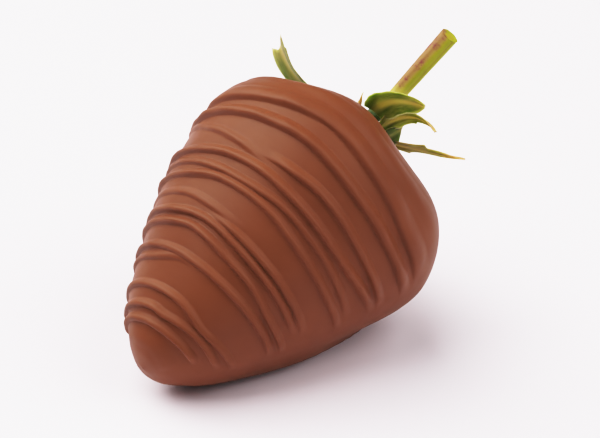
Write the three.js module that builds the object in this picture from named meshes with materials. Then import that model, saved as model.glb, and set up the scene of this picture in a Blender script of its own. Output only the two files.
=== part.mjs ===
// A strawberry dipped in chocolate and drizzled with more of it, lying on its side as it set.
// Millimetres. +Z is up and z = 0 is what it lies on. The fruit's axis runs towards +Y and rises
// from the tip to the leaves. The origin is under the middle of the object's box.
//
// Words used here: a station is a distance from the tip along the fruit's axis, and a turn is an
// angle about that axis, 0 on the upper side and +90 degrees on the +X side.

import * as THREE from 'three';

// Driving dimensions of the coated fruit
const AXIS_TILT = 22;            // degrees, the axis rises towards the leaves
const TIP_HEIGHT = 7.0;          // of the tip's middle, which sets how deep the foot is pressed flat
const OUTLINE = [                // station and radius of the coat, without its drizzle
  [0.2, 0], [1.1, 3.2], [3.2, 5.8], [8.4, 10.0], [18.9, 15.6], [31.5, 20.3], [41.0, 21.9],
  [47.2, 19.8], [50.9, 15.0], [52.6, 9.9], [53.2, 5.0], [53.2, 0],
];
const SHOULDER = 57;             // mm along the coat from the tip, where the fine rows end
const FINE_ROWS = 78;
const COARSE_ROWS = 9;
const COLUMNS = 52;
const CROWDING = 0.33;           // how much closer the columns lie under the fruit than on average
const UNEVENNESS = { height: 0.22, start: 1.3, along: 0.21, lobes: 2, twist: 0.11 };
const SHOULDER_LOBES = { count: 5, hollow: -12, depth: 0.9, station: 49, reach: 9 };
const CHEEK = { turn: 118, spread: 42, station: 41, reach: 18, height: 1.1 };

// Set chocolate round the foot. Coat lower than the lip has run down flat, and the coat above it
// curves into it over the run. Each is a size at the tip, then steps that ease from one station
// to another station and a new size there.
const FOOT_LIP = { tip: 0.9, steps: [[3, 16, 2.3], [24, 31, 2.7], [32, 40, 0.8]] };
const LIP_RUN = { tip: 9, steps: [[2, 10, 5], [20, 32, 1.7]] };

// The drizzle: each thread is a smooth line through a few points of turn and station
const THREAD = { half: 1.3, height: 0.65 };
const THREADS = [
  { through: [[-60, 2.6], [0, 2.3], [30, 2.4], [50, 2.1], [90, 1.5]], height: 0.35 },
  { through: [[-96, 3.9], [-40, 4.1], [0, 4.4], [40, 4.4], [90, 4.1]], height: 0.5 },
  { through: [[-98, 5.5], [-40, 5.7], [0, 6.1], [20, 6.0], [60, 6.8], [106, 7.0]], height: 0.6 },
  { through: [[-100, 8.2], [-40, 8.3], [0, 8.6], [30, 8.5], [56, 7.9], [90, 8.7], [114, 9.0]] },
  { through: [[-80, 11.8], [-30, 12.1], [-15, 12.4], [0, 13.1], [16, 13.6]], height: 0.5 },
  { through: [[-100, 13.5], [-30, 13.8], [15, 13.9], [60, 14.0], [90, 14.3], [112, 14.2]] },
  { through: [[-98, 16.9], [-30, 17.2], [0, 17.8], [15, 17.5], [30, 17.0], [50, 16.7], [75, 15.9],
    [116, 16.1]] },
  { through: [[-100, 18.9], [-30, 19.0], [0, 19.6], [15, 19.5], [45, 18.7], [80, 18.3],
    [100, 18.2]] },
  { through: [[4, 20.7], [25, 20.4], [45, 20.0], [75, 19.7], [104, 19.5]] },
  { through: [[-94, 21.4], [-30, 21.8], [-10, 22.0], [15, 21.4], [32, 21.1]], height: 0.4 },
  { through: [[-100, 24.1], [-30, 24.6], [0, 25.6], [30, 25.6], [60, 24.6], [90, 24.4],
    [114, 24.8]], height: 0.7 },
  { through: [[-98, 26.5], [-30, 26.8], [15, 26.9], [35, 27.3], [60, 26.9], [90, 26.4],
    [106, 26.3]], height: 0.5 },
  { through: [[-100, 28.2], [-30, 28.7], [0, 29.4], [20, 29.5], [60, 28.7], [75, 28.7],
    [90, 29.3], [112, 30.3]], height: 0.75 },
  { through: [[-94, 35.5], [-60, 34.6], [-30, 33.0], [0, 31.7], [18, 30.7]], height: 0.55 },
  { through: [[12, 31.7], [30, 32.1], [45, 32.4], [75, 31.7], [112, 31.7]], half: 1.5 },
  { through: [[-100, 34.5], [-35, 35.4], [0, 36.4], [25, 37.0], [60, 36.1], [95, 35.9],
    [114, 36.1]], half: 1.8, height: 0.75 },
  { through: [[-40, 40.0], [-10, 40.5], [0, 40.2], [15, 41.1], [30, 41.7], [60, 40.2], [90, 39.1],
    [110, 38.7]], half: 2.2, height: 0.75 },
  { through: [[-96, 47.4], [-30, 46.6], [20, 46.2], [60, 45.6], [98, 45.2]], half: 2.1,
    height: 0.5 },
];
const THREAD_STEPS = 24;         // straight pieces that stand in for each part of such a line
const THREAD_FADE = 22;          // degrees over which a thread's end sinks into the coat
const THREAD_JOIN = 4;           // how sharp the valley stays where two threads meet

// Leaves and stem, in the calyx frame: its own Z points out of the fruit, clock 0 is uphill
const CALYX_STATION = 54.0;
const CALYX_UPHILL = 3.0;        // off the fruit's axis
const CALYX_NOD = 8;             // degrees, steeper than the fruit's axis
const CALYX_RADIUS = 4.0;
const CALYX_HEIGHT = 2.2;
const GAP = 0.3;                 // between pieces that touch
const STEM_DIAMETER = 2.5;
const STEM_LENGTH = 18.4;
const STEM_REST = 0.9;           // of its middle over the disc, as the edge of a leaning end is lower
const STEM_LEAN = { start: [6, 27], end: [12, 12] };   // degrees uphill and towards +X
const STEM_BEND = 0.3;           // share of its length, from the disc, over which the lean changes

const LEAF = { curl: 0, sweep: 0, level: 0, taper: 1.6, fold: 0.25, fork: 0 };
const LEAVES = {
  sepal_1: { clock: 30.5, lift: 12, curl: -6, sweep: 74, length: 13.6, width: 5.0, level: 1.85 },
  sepal_2: { clock: 122, lift: 18, curl: 4, sweep: -14, length: 13.0, width: 3.8, taper: 0.45,
    level: 1.0 },
  sepal_3: { clock: -57, lift: -20, curl: 58, sweep: 10, length: 16.0, width: 6.4, level: 1.0,
    fork: 2.4 },
  sepal_4: { clock: -118, lift: 6, curl: 30, sweep: -10, length: 13, width: 5.4, level: 1.0 },
  sepal_5: { clock: 184, lift: 4, curl: 36, sweep: 8, length: 13.4, width: 5.4, level: 1.0 },
  bract_1: { clock: 65, lift: 60, curl: -90, sweep: 37, length: 12.4, width: 3.0, taper: 0.9,
    level: 0.2 },
  bract_2: { clock: 93, lift: 61, curl: 6, sweep: 1, length: 3.6, width: 2.1, taper: 2.5 },
  bract_3: { clock: 148, lift: 24, curl: -20, sweep: 4, length: 5.4, width: 2.8 },
  bract_4: { clock: 4, lift: 44, curl: -10, sweep: 14, length: 4.0, width: 0.8 },
  bract_5: { clock: -94, lift: -6, curl: 0, sweep: -8, length: 11, width: 2.2 },
  bract_6: { clock: -150, lift: 0, curl: 8, sweep: 4, length: 9, width: 3.0 },
};
const LEAF_STEPS = 10;
const LEAF_CELLS = 4;            // across the blade
const LEAF_THICKNESS = 0.5;
const LEAF_THINNING = { edge: 0.4, tip: 0.3 };
const LEAF_WAVE = { height: 0.35, along: 7, shift: 1.7 };
const LEAF_WIDEST = 0.3;         // of its length from the root
const LEAF_SEAT = { out: 0.2, up: 0.4 };   // of a root, from the rim and the back of the disc
const LEAF_ROOT = 0.65;          // of its full width, as are the two tips
const POINTED_TIP = 0.06;
const FORKED_TIP = 0.95;
const FORK_START = 0.7;          // of the length, where the notch between its points begins

const radians = THREE.MathUtils.degToRad;
const smoothstep = THREE.MathUtils.smoothstep;
const tilt = radians(AXIS_TILT);
const tiltCos = Math.cos(tilt);
const tiltSin = Math.sin(tilt);

function material(color, roughness) {
  return new THREE.MeshStandardMaterial({ color, roughness, metalness: 0 });
}
const chocolate = material('#8b4a34', 0.42);
const stemGreen = material('#9fae33', 0.6);
const leafGreen = material('#54702a', 0.65);

// A closed solid from its corner points and triangles
function solid(corners, triangles) {
  const geometry = new THREE.BufferGeometry().setFromPoints(corners);
  geometry.setIndex(triangles.flat());
  geometry.computeVertexNormals();
  return geometry;
}

// A point of the fruit, given in its own axis, placed in the object's frame
function fruitPoint(station, turn, radius) {
  const across = radius * Math.sin(turn);
  const uphill = radius * Math.cos(turn);
  const along = station * tiltCos - uphill * tiltSin;
  return new THREE.Vector3(across, along, station * tiltSin + uphill * tiltCos + TIP_HEIGHT);
}

// The coat's outline as rows of station, radius, distance along the coat and outward direction
const outline = new THREE.SplineCurve(OUTLINE.map(([s, r]) => new THREE.Vector2(s, r)));
outline.arcLengthDivisions = 400;
const outlineLength = outline.getLength();

function outlineRow(distance) {
  const u = distance / outlineLength;
  const point = outline.getPointAt(u);
  const tangent = outline.getTangentAt(u);
  return { station: point.x, radius: point.y, distance, outward: [-tangent.y, tangent.x] };
}

// Distance along the coat from the tip to a station, read off the outline
const table = Array.from({ length: 401 }, (_, i) => outlineRow((i / 400) * outlineLength));
function distanceAt(station) {
  const next = table.findIndex((row) => row.station >= station);
  if (next < 1) return 0;
  const [a, b] = [table[next - 1], table[next]];
  return a.distance + ((b.distance - a.distance) * (station - a.station)) / (b.station - a.station);
}

// Height that one thread adds at a distance along the coat and a turn in degrees
function threadHeight({ half, height, line }, distance, degrees) {
  const [from, to] = [line[0].x, line.at(-1).x];
  if (degrees <= from || degrees >= to) return 0;
  const next = line.findIndex((point) => point.x >= degrees);
  const [a, b] = [line[next - 1], line[next]];
  const station = THREE.MathUtils.mapLinear(degrees, a.x, b.x, a.y, b.y);
  const part = (distance - distanceAt(station)) / half;
  if (Math.abs(part) >= 1) return 0;
  const fade = smoothstep(degrees, from, from + THREAD_FADE)
    * (1 - smoothstep(degrees, to - THREAD_FADE, to));
  return height * fade * (1 - part * part) ** 2;
}

const threads = THREADS.map((given) => {
  const corners = given.through.map(([turn, station]) => new THREE.Vector2(turn, station));
  const line = new THREE.SplineCurve(corners).getPoints((corners.length - 1) * THREAD_STEPS);
  return { ...THREAD, ...given, line };
});

// Height of the drizzle over the coat, where threads that cross or meet run into one
function drizzleHeight(distance, turn) {
  const degrees = THREE.MathUtils.radToDeg(turn);
  const joined = threads.reduce(
    (sum, thread) => sum + threadHeight(thread, distance, degrees) ** THREAD_JOIN, 0);
  return joined ** (1 / THREAD_JOIN);
}

// Slow swells of the coat, twisted a little about the axis
function unevenness(distance, turn) {
  const { height, start, along, lobes, twist } = UNEVENNESS;
  return height * Math.sin(along * distance + start) * Math.sin(lobes * turn + twist * distance);
}

// Hollows between the fruit's shoulder lobes, which the coat follows
function shoulderHollow(station, turn) {
  const { count, hollow, depth, station: middle, reach } = SHOULDER_LOBES;
  const away = Math.min(1, Math.abs(station - middle) / reach);
  return (depth / 2) * (1 + Math.cos(count * (turn - radians(hollow)))) * (1 - away * away) ** 2;
}

// The fruit is fuller low on its +X side
function fullCheek(station, turn) {
  const { turn: middle, spread, station: across, reach, height } = CHEEK;
  const round = smoothstep(Math.cos(turn - radians(middle)), Math.cos(radians(spread)), 1);
  return height * round * (1 - smoothstep(Math.abs(station - across), 0, reach));
}

// Size at a station, easing from one step's to the next
function sizeAt({ tip, steps }, station) {
  return steps.reduce(
    (size, [from, to, next]) => size + (next - size) * smoothstep(station, from, to), tip);
}

// Coat that comes near the floor has run down onto it and set as a lip round a flat foot
function settle(point, station) {
  const lip = sizeAt(FOOT_LIP, station);
  const run = 1 - smoothstep(point.z, lip, lip + sizeAt(LIP_RUN, station));
  point.z = Math.max(0, point.z - lip * run);
  return point;
}

function coatedBerry() {
  const distances = [];
  for (let i = 1; i <= FINE_ROWS; i += 1) {
    distances.push((SHOULDER * i) / FINE_ROWS);
  }
  for (let i = 1; i < COARSE_ROWS; i += 1) {
    distances.push(SHOULDER + ((outlineLength - SHOULDER) * i) / COARSE_ROWS);
  }
  const corners = [settle(fruitPoint(0, 0, 0), 0)];
  for (const distance of distances) {
    const row = outlineRow(distance);
    for (let column = 0; column < COLUMNS; column += 1) {
      const even = 2 * Math.PI * (column / COLUMNS - 0.5);
      const turn = even + CROWDING * Math.sin(even);
      const height = drizzleHeight(distance, turn) + unevenness(distance, turn)
        + fullCheek(row.station, turn) - shoulderHollow(row.station, turn);
      const station = row.station + height * row.outward[0];
      corners.push(settle(fruitPoint(station, turn, row.radius + height * row.outward[1]), station));
    }
  }
  corners.push(fruitPoint(OUTLINE.at(-1)[0], 0, 0));

  const triangles = [];
  const last = corners.length - 1;
  for (let column = 0; column < COLUMNS; column += 1) {
    const next = (column + 1) % COLUMNS;
    triangles.push([0, 1 + next, 1 + column]);
    for (let row = 0; row + 1 < distances.length; row += 1) {
      const here = 1 + row * COLUMNS;
      const above = here + COLUMNS;
      triangles.push([here + column, above + next, above + column]);
      triangles.push([here + column, here + next, above + next]);
    }
    const end = 1 + (distances.length - 1) * COLUMNS;
    triangles.push([end + column, end + next, last]);
  }
  return solid(corners, triangles);
}

// The green middle of the leaves, a low dome with a collar for the stem
function calyxDisc() {
  const r = CALYX_RADIUS;
  const h = CALYX_HEIGHT;
  const collar = 0.65 * STEM_DIAMETER;
  const profile = [[0, 0], [0.9 * r, 0], [r, 0.25 * h], [0.8 * r, 0.6 * h],
    [collar + 0.3, 0.8 * h], [collar, h], [0, h]];
  const lathe = new THREE.LatheGeometry(profile.map(([x, y]) => new THREE.Vector2(x, y)), 20);
  return lathe.rotateX(Math.PI / 2);
}

// Direction in the calyx frame: clock about its Z, lift above its plane, both in degrees
function calyxDirection(clock, lift) {
  const c = radians(clock);
  const l = radians(lift);
  return new THREE.Vector3(Math.sin(c) * Math.cos(l), -Math.cos(c) * Math.cos(l), Math.sin(l));
}

function leanDirection(uphill, sideways) {
  const a = radians(uphill);
  const b = radians(sideways);
  return new THREE.Vector3(Math.sin(b), -Math.sin(a) * Math.cos(b), Math.cos(a) * Math.cos(b));
}

function stem() {
  const points = [new THREE.Vector3(0, 0, CALYX_HEIGHT + STEM_REST)];
  const steps = 12;
  for (let i = 0; i < steps; i += 1) {
    const bent = smoothstep((i + 0.5) / steps, 0, STEM_BEND);
    const lean = STEM_LEAN.start.map((from, axis) => from + (STEM_LEAN.end[axis] - from) * bent);
    const step = leanDirection(...lean).multiplyScalar(STEM_LENGTH / steps);
    points.push(points.at(-1).clone().add(step));
  }
  const section = new THREE.Shape().absarc(0, 0, STEM_DIAMETER / 2, 0, 2 * Math.PI);
  const extrudePath = new THREE.CatmullRomCurve3(points);
  return new THREE.ExtrudeGeometry(section, { extrudePath, steps, curveSegments: 6 });
}

// Half of the blade's width at t from root to tip
function bladeHalf(leaf, t) {
  const growing = Math.sin((Math.PI / 2) * Math.min(1, t / LEAF_WIDEST));
  const tapering = 1 - Math.max(0, (t - LEAF_WIDEST) / (1 - LEAF_WIDEST)) ** leaf.taper;
  const blunt = leaf.fork > 0 ? FORKED_TIP : POINTED_TIP;
  const share = (LEAF_ROOT + (1 - LEAF_ROOT) * growing) * (blunt + (1 - blunt) * tapering);
  return (leaf.width / 2) * share;
}

// A thin wavy solid along a line that lifts, curls and sweeps as it leaves the calyx
function leafBlade(given, index) {
  const leaf = { ...LEAF, ...given };
  const place = calyxDirection(leaf.clock, 0);
  place.multiplyScalar(CALYX_RADIUS + GAP + LEAF_SEAT.out);
  place.z = LEAF_SEAT.up + leaf.level;
  const faces = { top: [], bottom: [] };
  for (let i = 0; i <= LEAF_STEPS; i += 1) {
    const t = i / LEAF_STEPS;
    const clock = leaf.clock + leaf.sweep * t;
    const along = calyxDirection(clock, leaf.lift + leaf.curl * t);
    const across = calyxDirection(clock + 90, 0);
    const normal = new THREE.Vector3().crossVectors(along, across).negate();
    const half = bladeHalf(leaf, t);
    for (let cell = 0; cell <= LEAF_CELLS; cell += 1) {
      const v = (2 * cell) / LEAF_CELLS - 1;
      const edge = Math.abs(v);
      const phase = LEAF_WAVE.along * t + LEAF_WAVE.shift * index + v;
      const wave = LEAF_WAVE.height * edge * t * Math.sin(phase);
      const rise = leaf.fold * half * edge + wave;
      const back = -leaf.fork * (1 - edge) * smoothstep(t, FORK_START, 1);
      const thinning = (1 - LEAF_THINNING.edge * edge) * (1 - LEAF_THINNING.tip * t);
      const thick = (LEAF_THICKNESS / 2) * thinning;
      const middle = place.clone().addScaledVector(across, v * half)
        .addScaledVector(normal, rise).addScaledVector(along, back);
      faces.top.push(middle.clone().addScaledVector(normal, thick));
      faces.bottom.push(middle.clone().addScaledVector(normal, -thick));
    }
    const onward = t + 0.5 / LEAF_STEPS;
    const step = calyxDirection(leaf.clock + leaf.sweep * onward, leaf.lift + leaf.curl * onward);
    place.addScaledVector(step, leaf.length / LEAF_STEPS);
  }
  return slab(faces);
}

// Joins two like grids of points, both split alike, with a wall round their edge
function slab({ top, bottom }) {
  const width = LEAF_CELLS + 1;
  const under = top.length;
  const triangles = [];
  for (let i = 0; i < LEAF_STEPS; i += 1) {
    for (let cell = 0; cell < LEAF_CELLS; cell += 1) {
      const a = i * width + cell;
      const [b, c, d] = [a + 1, a + width, a + width + 1];
      triangles.push([a, b, d], [a, d, c]);
      triangles.push([under + a, under + d, under + b], [under + a, under + c, under + d]);
    }
  }
  const rim = [];
  for (let cell = 0; cell < LEAF_CELLS; cell += 1) rim.push(cell);
  for (let i = 0; i < LEAF_STEPS; i += 1) rim.push(i * width + LEAF_CELLS);
  for (let cell = LEAF_CELLS; cell > 0; cell -= 1) rim.push(LEAF_STEPS * width + cell);
  for (let i = LEAF_STEPS; i > 0; i -= 1) rim.push(i * width);
  rim.forEach((a, i) => {
    const b = rim[(i + 1) % rim.length];
    triangles.push([a, under + a, under + b], [a, under + b, b]);
  });
  return solid([...top, ...bottom], triangles);
}

function addMesh(parent, name, geometry, finish) {
  const mesh = new THREE.Mesh(geometry, finish);
  mesh.name = name;
  parent.add(mesh);
}

const strawberry = new THREE.Group();
addMesh(strawberry, 'coated_berry', coatedBerry(), chocolate);

const calyx = new THREE.Group();
calyx.position.copy(fruitPoint(CALYX_STATION, 0, CALYX_UPHILL));
calyx.rotation.x = radians(AXIS_TILT + CALYX_NOD - 90);
addMesh(calyx, 'calyx_disc', calyxDisc(), leafGreen);
addMesh(calyx, 'stem', stem(), stemGreen);
Object.entries(LEAVES).forEach(([name, leaf], index) => {
  addMesh(calyx, name, leafBlade(leaf, index), leafGreen);
});
strawberry.add(calyx);

// The origin goes under the middle of the object's box
const box = new THREE.Box3().setFromObject(strawberry, true);
const middle = box.getCenter(new THREE.Vector3());
for (const piece of strawberry.children) {
  piece.position.x -= middle.x;
  piece.position.y -= middle.y;
}

export default strawberry;
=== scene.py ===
# %% [markdown]
# # A chocolate covered strawberry
#
# A whole strawberry was held by its leaves, dipped in melted milk chocolate, drizzled with more
# of it and laid on its side to set. What shows is the satin coat with its threads of drizzle,
# the flat foot where the coat ran down, and the leaves and stem that stayed bare.
#
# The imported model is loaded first. It fixes the sizes and the places, and every piece made here
# takes the place of one of its nodes.

# %% Load the frame
import math

import bpy
import numpy as np
from mathutils import Matrix, Vector


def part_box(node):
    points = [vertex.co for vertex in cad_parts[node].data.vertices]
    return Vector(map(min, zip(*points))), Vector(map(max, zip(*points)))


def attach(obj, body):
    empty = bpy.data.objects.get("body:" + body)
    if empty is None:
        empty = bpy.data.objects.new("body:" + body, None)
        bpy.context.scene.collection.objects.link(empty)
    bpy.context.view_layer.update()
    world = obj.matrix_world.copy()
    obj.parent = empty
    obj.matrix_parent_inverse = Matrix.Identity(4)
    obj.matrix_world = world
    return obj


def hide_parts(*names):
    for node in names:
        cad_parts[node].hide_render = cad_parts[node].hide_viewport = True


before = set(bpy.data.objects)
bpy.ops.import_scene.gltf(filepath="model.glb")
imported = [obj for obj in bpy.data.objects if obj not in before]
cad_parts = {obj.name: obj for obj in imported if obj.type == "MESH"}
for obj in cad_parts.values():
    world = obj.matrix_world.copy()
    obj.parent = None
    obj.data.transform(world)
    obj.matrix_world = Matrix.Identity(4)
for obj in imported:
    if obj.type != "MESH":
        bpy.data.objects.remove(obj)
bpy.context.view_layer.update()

BODY = "root"

# %% [markdown]
# ## Helpers
#
# Blender counts in metres, and a strawberry is easier to describe in millimetres, so sizes are
# written in millimetres, and MM turns them into metres. Colours are the hex values that a colour
# picker shows, and one function turns them into the linear values that the sockets hold. One
# more function adds a node of any kind. The others add the kinds that are used most, and give
# back the sockets with the result, so that a node tree reads like a row of sums.

# %% Units, colours and nodes
MM = 0.001
UP = Vector((0, 0, 1))


def linear(hex_colour):
    """An sRGB hex colour as the linear RGBA that Blender's sockets hold."""
    shares = [int(hex_colour[i:i + 2], 16) / 255 for i in (1, 3, 5)]
    return [s / 12.92 if s <= 0.04045 else ((s + 0.055) / 1.055) ** 2.4 for s in shares] + [1.0]


def add_node(tree, kind, inputs=None, **settings):
    """Adds a node, makes its settings, and fills its sockets with values or links."""
    node = tree.nodes.new(kind)
    for name, value in settings.items():
        setattr(node, name, value)
    for name, value in (inputs or {}).items():
        if isinstance(value, bpy.types.NodeSocket):
            tree.links.new(value, node.inputs[name])
        else:
            node.inputs[name].default_value = value
    return node


def calc(tree, operation, *values, **settings):
    """The result of a math node."""
    return add_node(tree, "ShaderNodeMath", dict(enumerate(values)),
                    operation=operation, **settings).outputs[0]


def vector(tree, operation, *values):
    """The result of a vector math node, which is a number for a dot product or a length."""
    inputs = dict(enumerate(values))
    if operation == "SCALE":
        inputs["Scale"] = inputs.pop(1)
    node = add_node(tree, "ShaderNodeVectorMath", inputs, operation=operation)
    return node.outputs["Value" if operation in ("DOT_PRODUCT", "LENGTH") else "Vector"]


def separate(tree, value):
    """The X, Y and Z of a vector, by name."""
    return add_node(tree, "ShaderNodeSeparateXYZ", {0: value}).outputs


def combine(tree, x=0.0, y=0.0, z=0.0):
    """A vector made of its three numbers."""
    return add_node(tree, "ShaderNodeCombineXYZ", {0: x, 1: y, 2: z}).outputs[0]


def ramp(tree, value, low, high, at_low=0.0, at_high=1.0, kind="SMOOTHSTEP"):
    """Goes from at_low to at_high while the value goes from low to high."""
    return add_node(tree, "ShaderNodeMapRange", {
        "Value": value, "From Min": low, "From Max": high, "To Min": at_low, "To Max": at_high},
        interpolation_type=kind).outputs[0]


def noise(tree, place, size, detail=2.0, roughness=0.5):
    """Noise of a size, as one number, Fac, and as three, Color."""
    return add_node(tree, "ShaderNodeTexNoise", {
        "Vector": place, "Scale": 1 / size, "Detail": detail, "Roughness": roughness}).outputs


# %% [markdown]
# ## Geometry Nodes from a script
#
# A tree needs a way in and out and a named input for each size, so that the same tree can make
# pieces of many sizes. It runs as a modifier on a host object. The modifier's inputs go by
# socket identifiers, and they are set before Blender first evaluates the host. The result is
# copied to a plain mesh, and the host goes away.

# %% Building and running a tree
SOCKET_KINDS = {int: "Int", float: "Float", bpy.types.Object: "Object",
                bpy.types.Material: "Material"}


def new_tree(name, values):
    """An empty tree with a geometry in and out and an input for each value, and their sockets."""
    tree = bpy.data.node_groups.new(name, "GeometryNodeTree")
    for way in ("INPUT", "OUTPUT"):
        tree.interface.new_socket("Geometry", in_out=way, socket_type="NodeSocketGeometry")
    for label, value in values.items():
        tree.interface.new_socket(
            label, in_out="INPUT", socket_type="NodeSocket" + SOCKET_KINDS[type(value)])
    return tree, tree.nodes.new("NodeGroupInput").outputs


def geometry(tree, kind, inputs=None, **settings):
    """The outputs of a node that only Geometry Nodes has."""
    return add_node(tree, "GeometryNode" + kind, inputs, **settings).outputs


def named(tree, name, kind="FLOAT"):
    """What is stored under a name on the geometry."""
    return geometry(tree, "InputNamedAttribute", {"Name": name}, data_type=kind)[0]


def store(tree, shape, name, value, kind="FLOAT", chosen=True, domain="POINT"):
    """The geometry with a value stored under a name on what is chosen of it."""
    return geometry(tree, "StoreNamedAttribute", {
        "Geometry": shape, "Selection": chosen, "Name": name, "Value": value},
        data_type=kind, domain=domain)[0]


def end_tree(tree, shape, material):
    """Closes a tree: real mesh, smooth shading and a material, then the way out."""
    for kind, inputs in (("RealizeInstances", {}), ("SetShadeSmooth", {}),
                         ("SetMaterial", {"Material": material})):
        shape = geometry(tree, kind, {"Geometry": shape, **inputs})[0]
    add_node(tree, "NodeGroupOutput", {"Geometry": shape})


def run_tree(name, host, tree, values):
    """Runs a tree on its host and returns the result as a plain mesh object."""
    modifier = host.modifiers.new("Tree", "NODES")
    modifier.node_group = tree
    for item in tree.interface.items_tree:
        if item.in_out == "INPUT" and item.name in values:
            modifier[item.identifier] = values[item.name]
    ready = host.evaluated_get(bpy.context.evaluated_depsgraph_get())
    piece = new_object(name, bpy.data.meshes.new_from_object(ready))
    bpy.data.objects.remove(host)
    print(name, "has", len(piece.data.polygons), "faces")
    return piece


def new_object(name, mesh):
    """An object at the origin that holds a mesh."""
    piece = bpy.data.objects.new(name, mesh)
    bpy.context.scene.collection.objects.link(piece)
    return piece


def new_mesh(name, points, faces=(), edges=()):
    mesh = bpy.data.meshes.new(name)
    mesh.from_pydata([tuple(p) for p in points], edges, faces)
    return mesh


def mark_points(mesh, name, numbers):
    """Keeps a number on each point of a mesh under a name."""
    mesh.attributes.new(name, "FLOAT", "POINT").data.foreach_set("value", numbers)


def wire(name, lines, values=None):
    """A mesh of one or more lines of points, with a number on each point for each name."""
    edges = []
    first = 0
    for line in lines:
        edges += [(i, i + 1) for i in range(first, first + len(line) - 1)]
        first += len(line)
    mesh = new_mesh(name, np.vstack(lines), edges=edges)
    for label, numbers in (values or {}).items():
        mark_points(mesh, label, numbers)
    return new_object(name, mesh)


# %% [markdown]
# ## Chocolate
#
# Milk chocolate that has set from a melt is a fat with fine sugar and cocoa in it. Its skin is
# satin: smooth to the finger, with a broad soft highlight. Light goes a millimetre or so into
# it, which warms the shaded side of each thread. The colour wavers a little over a centimetre
# or so, where the coat is thinner or cooled at another pace.

# %% Set milk chocolate
CHOCOLATE_LIGHT = "#7E4E34"
CHOCOLATE_DARK = "#6E412B"


def new_material(name, shader_values):
    """A material with one Principled shader, whose own sockets hold these values."""
    material = bpy.data.materials.new(name)
    material.use_nodes = True
    tree = material.node_tree
    shader = tree.nodes["Principled BSDF"]
    for socket, value in shader_values.items():
        shader.inputs[socket].default_value = value
    return material, tree, shader


def object_place(tree):
    return add_node(tree, "ShaderNodeTexCoord").outputs["Object"]


def blend(tree, share, colour, other):
    """A hex colour or a socket's colour that goes over to another hex colour with the share."""
    first = linear(colour) if isinstance(colour, str) else colour
    return add_node(
        tree, "ShaderNodeMix", {0: share, 6: first, 7: linear(other)}, data_type="RGBA").outputs[2]


def overlay(tree, colour, layers):
    """A colour with others laid over it in turn, each as far as the share beside it says."""
    for share, other in layers:
        colour = blend(tree, share, colour, other)
    return colour


def add_grain(tree, shader, size, detail, roughness, strength, depth):
    """Gives a shader a fine bumpy grain."""
    bump = add_node(tree, "ShaderNodeBump", {
        "Height": noise(tree, object_place(tree), size, detail, roughness)["Fac"],
        "Strength": strength, "Distance": depth})
    tree.links.new(bump.outputs["Normal"], shader.inputs["Normal"])


def milk_chocolate():
    cocoa_butter_ior = 1.46
    light_reach = (1.0, 0.4, 0.22)
    tone_size = 11 * MM
    skin_size = 2.5 * MM
    roughness_range = (0.4, 0.55)
    material, tree, shader = new_material("Set milk chocolate", {
        "IOR": cocoa_butter_ior,
        "Specular IOR Level": 0.2,
        "Subsurface Weight": 0.12,
        "Subsurface Radius": light_reach,
        "Subsurface Scale": 0.8 * MM,
    })
    place = object_place(tree)
    tone = noise(tree, place, tone_size, 3.0)["Fac"]
    skin = noise(tree, place, skin_size, 4.0, 0.6)["Fac"]
    satin = ramp(tree, skin, 0.0, 1.0, *roughness_range, kind="LINEAR")
    tree.links.new(blend(tree, tone, CHOCOLATE_DARK, CHOCOLATE_LIGHT), shader.inputs["Base Color"])
    tree.links.new(satin, shader.inputs["Roughness"])
    add_grain(tree, shader, size=0.5 * MM, detail=3.0, roughness=0.6, strength=0.15,
              depth=0.05 * MM)
    return material


chocolate = milk_chocolate()
print("material", chocolate.name)

# %% [markdown]
# ## The coat's outline
#
# The fruit is round about its own axis, so its coat is an outline turned about that axis: a
# station along the axis from the tip, and a radius there. A few points and a smooth curve
# through them are enough. The axis rises towards the leaves, as the fruit lies on its side.

# %% Outline of the coat
OUTLINE = [
    (0.2, 0), (1.1, 3.2), (3.2, 5.8), (8.4, 10.0), (18.9, 15.6), (31.5, 20.3), (41.0, 21.9),
    (47.2, 19.8), (50.9, 15.0), (52.6, 9.9), (53.2, 5.0), (53.2, 0),
]
AXIS_TILT = math.radians(22)
TIP_HEIGHT = 7.0
CURVE_STEPS = 24


def catmull_rom(points, steps):
    """The smooth curve through the points, as a row of close points."""
    p = np.array([points[0], *points, points[-1]], float)
    t = np.linspace(0, 1, steps, endpoint=False)[:, None]
    curve = []
    for before, start, end, after in zip(p, p[1:], p[2:], p[3:]):
        leaving = (end - before) / 2
        arriving = (after - start) / 2
        curve.append(start + leaving * t + (3 * (end - start) - 2 * leaving - arriving) * t ** 2
                     + (2 * (start - end) + leaving + arriving) * t ** 3)
    return np.vstack([*curve, p[-1]])


def fruit_point(station, turn, radius):
    """A point given in the fruit's own axis, in millimetres with the fruit at its tilt."""
    uphill = radius * np.cos(turn)
    across = radius * np.sin(turn)
    along = station * math.cos(AXIS_TILT) - uphill * math.sin(AXIS_TILT)
    height = station * math.sin(AXIS_TILT) + uphill * math.cos(AXIS_TILT) + TIP_HEIGHT
    return np.stack([across, along, height], axis=-1)


outline = catmull_rom(OUTLINE, CURVE_STEPS)
outline_length = np.hypot(*np.diff(outline, axis=0).T).sum()
print("the outline is", round(float(outline_length), 1), "mm long")

# %% [markdown]
# ## Where the drizzle lies
#
# Warm chocolate was let run from a spoon in a zigzag, so the threads cross the fruit nearly side
# by side. Each is a smooth line through a few points of its own: a turn about the fruit's axis
# in degrees, from straight up, and a station. The threads sagged towards the tip before they
# set, so each has a steep short side there and a long soft one towards the leaves. The lines
# are kept in one mesh, with each thread's number and sizes on its points, for the tree to read.

# %% Paths of the drizzle
def thread(*through, height=0.64, steep=0.48, soft=1.0, curve=0.45):
    """A thread's points, its height, its two sides' widths and the steep one's roundness."""
    return {"through": through, "height": height, "steep": steep, "soft": soft, "round": curve}


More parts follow.
